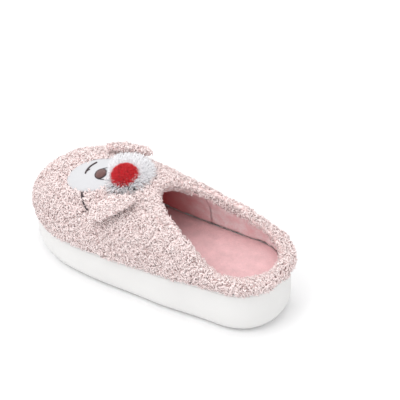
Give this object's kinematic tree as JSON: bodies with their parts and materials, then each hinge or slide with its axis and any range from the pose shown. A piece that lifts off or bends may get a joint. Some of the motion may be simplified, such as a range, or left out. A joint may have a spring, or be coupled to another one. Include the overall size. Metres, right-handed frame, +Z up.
{
  "type": "plush house slipper",
  "caption": "Fluffy closed-toe house slipper with a low heel collar, thick flat-bottomed sole and an embroidered sleepy animal face with floppy ears and a cherry.",
  "frame": {"origin": "on the ground, under the middle of the sole's length and the heel's centre line", "axes": "+Y from heel to toe, +X to the medial side of this left-foot slipper, +Z up"},
  "size_m": [0.1145, 0.272, 0.1101],
  "materials": {
    "white_eva": "smooth matte moulded foam",
    "fibre_board": "matte",
    "footbed_foam": "matte open-cell foam",
    "rose_lining": "short brushed pile",
    "pink_plush": "curly long pile",
    "padding": "matte wadding",
    "white_cloth": "smooth velour",
    "white_pile": "long soft pile",
    "dark_thread": "satin embroidery",
    "brown_thread": "satin embroidery",
    "red_pile": "short dense pile",
    "dark_cord": "waxed cord"
  },
  "bodies": {
    "slipper": {"outsole": "white_eva", "welt_strip": "white_eva", "insole_board": "fibre_board", "footbed_foam": "footbed_foam", "footbed_cover": "rose_lining", "vamp_plush": "pink_plush", "heel_collar_plush": "pink_plush", "vamp_padding": "padding", "heel_collar_padding": "padding", "vamp_lining": "rose_lining", "throat_facing": "pink_plush", "heel_collar_lining": "rose_lining", "face_patch": "white_cloth", "muzzle_fluff": "white_pile", "eye_medial": "dark_thread", "eye_lateral": "dark_thread", "nose": "brown_thread", "mouth_line_medial": "dark_thread", "mouth_line_lateral": "dark_thread", "cherry": "red_pile"},
    "ear_lateral": {"ear_lateral_back": "pink_plush", "ear_lateral_filling": "padding", "ear_lateral_front": "pink_plush"},
    "ear_medial": {"ear_medial_back": "pink_plush", "ear_medial_filling": "padding", "ear_medial_front": "pink_plush"},
    "stem": {"cherry_stem": "dark_cord"}
  },
  "joints": [
    {"name": "ear_lateral_lift", "type": "hinge", "parent": "slipper", "child": "ear_lateral", "pos_m": [-0.02948, 0.01994, 0.08943], "axis": [-0.3832, 0.8803, -0.2797], "range_deg": [0, 70]},
    {"name": "ear_medial_lift", "type": "hinge", "parent": "slipper", "child": "ear_medial", "pos_m": [0.02212, 0.04148, 0.0967], "axis": [0.3966, -0.9162, -0.0569], "range_deg": [0, 70]},
    {"name": "stem_lift", "type": "hinge", "parent": "slipper", "child": "stem", "pos_m": [-0.02265, 0.026, 0.09705], "axis": [-0.8919, -0.212, -0.3995], "range_deg": [0, 80]}
  ]
}
